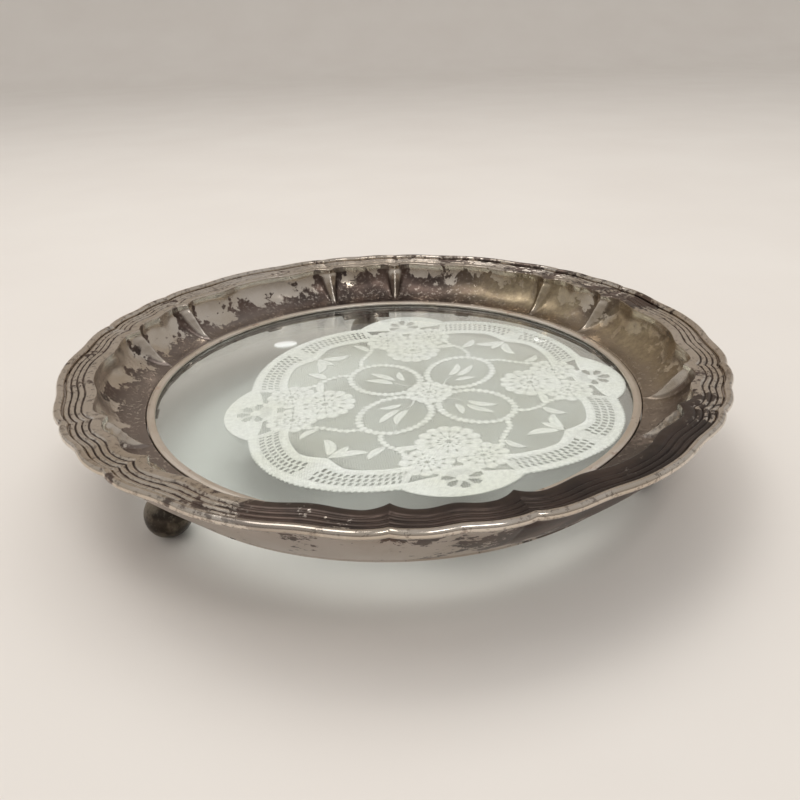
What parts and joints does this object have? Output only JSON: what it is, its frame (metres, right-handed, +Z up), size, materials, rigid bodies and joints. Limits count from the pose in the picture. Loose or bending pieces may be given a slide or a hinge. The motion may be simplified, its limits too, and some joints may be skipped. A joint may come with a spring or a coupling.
{
  "type": "silver salver",
  "caption": "Round silver-plated salver with a scalloped reeded rim, a glass bottom holding a lace doily, and ball feet.",
  "frame": {"origin": "on the table below the centre of the tray", "axes": "+Z up out of the table, -Y to the front, one foot at the back on +Y and one each side of the front"},
  "size_m": [0.32, 0.319, 0.056],
  "materials": {
    "border_silver": "silver plate over brass, worn bright on the crests and darkly tarnished in the grooves and cove",
    "skirt_silver": "satin silver plate over brass with dark pits and tarnish",
    "bezel_silver": "polished silver plate over brass",
    "fitting_silver": "dull tarnished silver plate",
    "ball_metal": "almost black tarnish with an olive sheen",
    "steel": "dull steel",
    "glass": "clear plate glass with a green edge",
    "cream_lace": "cream cotton tape lace on fine net"
  },
  "bodies": {
    "root": {"rim_border": "border_silver", "edge_wire": "border_silver", "outer_skirt": "skirt_silver", "bezel_ring": "bezel_silver", "glass_collar": "fitting_silver", "glass_upper": "glass", "glass_lower": "glass", "lace_doily": "cream_lace", "retaining_wire": "fitting_silver", "glass_tab_1": "fitting_silver", "glass_tab_2": "fitting_silver", "glass_tab_3": "fitting_silver", "glass_tab_4": "fitting_silver", "glass_tab_5": "fitting_silver", "glass_tab_6": "fitting_silver", "foot_ball_back": "ball_metal", "foot_bracket_back": "fitting_silver", "foot_screw_back": "steel", "foot_washer_back": "steel", "foot_ball_left": "ball_metal", "foot_bracket_left": "fitting_silver", "foot_screw_left": "steel", "foot_washer_left": "steel", "foot_ball_right": "ball_metal", "foot_bracket_right": "fitting_silver", "foot_screw_right": "steel", "foot_washer_right": "steel"}
  },
  "joints": []
}
